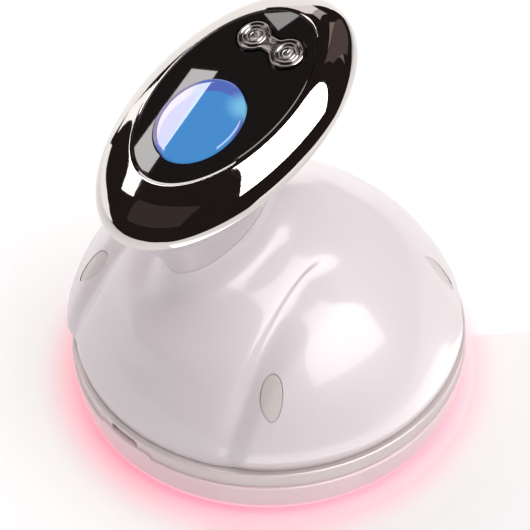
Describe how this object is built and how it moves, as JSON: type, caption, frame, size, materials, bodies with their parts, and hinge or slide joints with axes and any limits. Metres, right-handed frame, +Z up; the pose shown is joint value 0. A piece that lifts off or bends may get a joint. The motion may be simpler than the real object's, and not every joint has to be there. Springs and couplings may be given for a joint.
{
  "type": "radio frequency slimming device",
  "caption": "Hand-held body shaping device: a pearl dome on a lit base, with a tilted chrome head that holds a blue lens and push buttons.",
  "frame": {"origin": "centre of the treatment face, on which the device rests", "axes": "+Z up out of the treatment face, -Y towards the low end of the head and the charging port, +X to the right as the user reads the panel"},
  "size_m": [0.1114, 0.1114, 0.112],
  "materials": {
    "pearl_shell": "high-gloss pearl white",
    "plug_grey": "satin",
    "silver_band": "satin silver paint on plastic",
    "milky_shell": "translucent, lit red from inside",
    "bright_chrome": "mirror plated",
    "button_chrome": "turned rings, plated",
    "black_gloss": "piano black",
    "lens_blue": "lit blue from below",
    "diffuser_white": "frosted",
    "board_green": "solder mask",
    "screw_steel": "zinc plated",
    "probe_steel": "polished",
    "port_steel": "stamped",
    "port_black": "moulded",
    "seal_rubber": "silicone",
    "piezo_brass": "plain",
    "led_red": "clear red",
    "led_blue": "clear blue",
    "battery_wrap": "shrink film",
    "bracket_nylon": "moulded",
    "ferrite_dark": "sintered",
    "coil_copper": "enamelled copper wire",
    "switch_black": "moulded",
    "plunger_white": "moulded",
    "ribbon_grey": "flexible film"
  },
  "bodies": {
    "housing": {"dome_shell": "pearl_shell", "grip_shell": "pearl_shell", "screw_plugs": "plug_grey", "trim_band": "silver_band", "lower_shell": "milky_shell", "chrome_bezel": "bright_chrome", "button_frame": "bright_chrome", "display_panel": "black_gloss", "status_lens": "lens_blue", "lens_diffuser": "diffuser_white", "head_board": "board_green", "main_board": "board_green", "led_ring_board": "board_green", "head_screws": "screw_steel", "board_screws": "screw_steel", "clamp_screws": "screw_steel", "shell_screws": "screw_steel", "neck_screws": "screw_steel", "electrode_nuts": "screw_steel", "treatment_probe": "probe_steel", "probe_clamp": "probe_steel", "rf_electrodes": "probe_steel", "usb_port": "port_steel", "port_tongue": "port_black", "probe_seal": "seal_rubber", "piezo_disc": "piezo_brass", "red_leds": "led_red", "head_leds": "led_blue", "battery_cell": "battery_wrap", "battery_bracket": "bracket_nylon", "transformer_core": "ferrite_dark", "transformer_coil": "coil_copper", "switch_bodies": "switch_black", "head_cable": "ribbon_grey"},
    "mode_button": {"mode_button_cap": "button_chrome", "mode_switch_plunger": "plunger_white"},
    "power_button": {"power_button_cap": "button_chrome", "power_switch_plunger": "plunger_white"}
  },
  "joints": [
    {"name": "mode_button_press", "type": "slide", "parent": "housing", "child": "mode_button", "axis": [0, 0.3338, -0.9426], "range_m": [0, 0.0005], "stiffness_N_per_m": 800, "springref_m": -0.0005},
    {"name": "power_button_press", "type": "slide", "parent": "housing", "child": "power_button", "axis": [0, 0.3338, -0.9426], "range_m": [0, 0.0005], "stiffness_N_per_m": 800, "springref_m": -0.0005}
  ]
}
